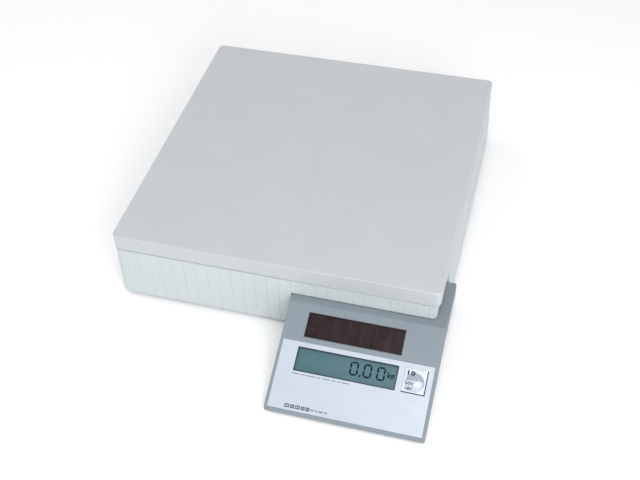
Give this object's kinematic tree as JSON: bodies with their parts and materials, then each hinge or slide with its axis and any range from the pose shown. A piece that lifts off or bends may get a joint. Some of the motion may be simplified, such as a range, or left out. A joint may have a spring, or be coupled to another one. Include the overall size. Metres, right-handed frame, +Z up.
{
  "type": "platform shipping scale",
  "caption": "Low square parcel scale: a flat lift-off platform on a load cell in a tub-shaped base, with a solar-powered sloping console docked under its front right corner.",
  "frame": {"origin": "under the middle of the whole object's box, on the surface that it stands on", "axes": "+X to the user's right, +Y towards the back, +Z up; the console is at the front right"},
  "size_m": [0.3298, 0.4254, 0.0833],
  "materials": {
    "white_plastic": "fine satin texture, off-white",
    "platform_plastic": "fine satin texture, off-white",
    "grey_plastic": "fine satin texture, blue grey",
    "light_grey_plastic": "satin, light grey",
    "black_plastic": "matt black",
    "zinc_steel": "zinc-plated sheet",
    "screw_steel": "zinc-plated",
    "cell_aluminium": "machined",
    "potting": "white silicone",
    "lead_sheath": "grey flexible sheath",
    "rubber": "soft matt black",
    "clear_window": "clear gloss",
    "solar_silicon": "dark red-brown amorphous silicon",
    "lcd": "green-grey display glass",
    "elastomer": "conductive strip",
    "label_film": "pale blue-white printed film",
    "board": "green solder mask",
    "resin": "black resin",
    "capacitor_sleeve": "dark blue sleeve",
    "socket_plastic": "natural nylon",
    "dome_steel": "thin spring steel"
  },
  "bodies": {
    "base": {"base_housing": "white_plastic", "foot_back_left": "rubber", "foot_back_right": "rubber", "foot_front_left": "rubber", "foot_front_right": "rubber", "base_plate": "zinc_steel", "plate_screws": "screw_steel", "lower_spacer": "zinc_steel", "load_cell": "cell_aluminium", "gauge_potting": "potting", "lower_cell_screws": "screw_steel", "overload_stops": "screw_steel", "stop_nuts": "screw_steel", "cell_lead": "lead_sheath", "lead_clips": "black_plastic", "lead_grommet": "rubber"},
    "load_carrier": {"upper_spacer": "zinc_steel", "load_spider": "zinc_steel", "upper_cell_screws": "screw_steel", "support_posts": "cell_aluminium", "pad_back_left": "rubber", "pad_back_right": "rubber", "pad_front_left": "rubber", "pad_front_right": "rubber"},
    "platform": {"platform_cover": "platform_plastic", "platform_stiffener": "zinc_steel"},
    "console": {"console_top_shell": "grey_plastic", "console_bottom_shell": "light_grey_plastic", "case_screws": "screw_steel", "console_foot_back_left": "rubber", "console_foot_back_right": "rubber", "console_foot_front_left": "rubber", "console_foot_front_right": "rubber", "lead_gland": "rubber", "solar_window": "clear_window", "solar_cell": "solar_silicon", "solar_backplate": "black_plastic", "lcd_window": "clear_window", "lcd_glass": "lcd", "lcd_holder": "black_plastic", "contact_strips": "elastomer", "label_overlay": "label_film", "circuit_board": "board", "board_screws": "screw_steel", "controller_chip": "resin", "storage_capacitor": "capacitor_sleeve", "board_components": "resin", "lead_socket": "socket_plastic", "key_switch": "resin", "snap_dome": "dome_steel"},
    "key": {"key_cap": "label_film", "switch_plunger": "socket_plastic"}
  },
  "joints": [
    {"name": "load_flex", "type": "slide", "parent": "base", "child": "load_carrier", "axis": [0, 0, 1], "range_m": [-0.0008, 0], "stiffness_N_per_m": 20000, "springref_m": 0.0022, "deforming": ["load_cell"]},
    {"name": "platform_lift", "type": "slide", "parent": "load_carrier", "child": "platform", "axis": [0, 0, 1], "range_m": [0, 0.08]},
    {"name": "console_pull", "type": "slide", "parent": "base", "child": "console", "axis": [0, -1, 0], "range_m": [0, 0.06]},
    {"name": "key_press", "type": "slide", "parent": "console", "child": "key", "axis": [0, 0.3971, -0.9178], "range_m": [0, 0.0008], "stiffness_N_per_m": 800, "springref_m": -0.0006, "deforming": ["snap_dome"]}
  ]
}
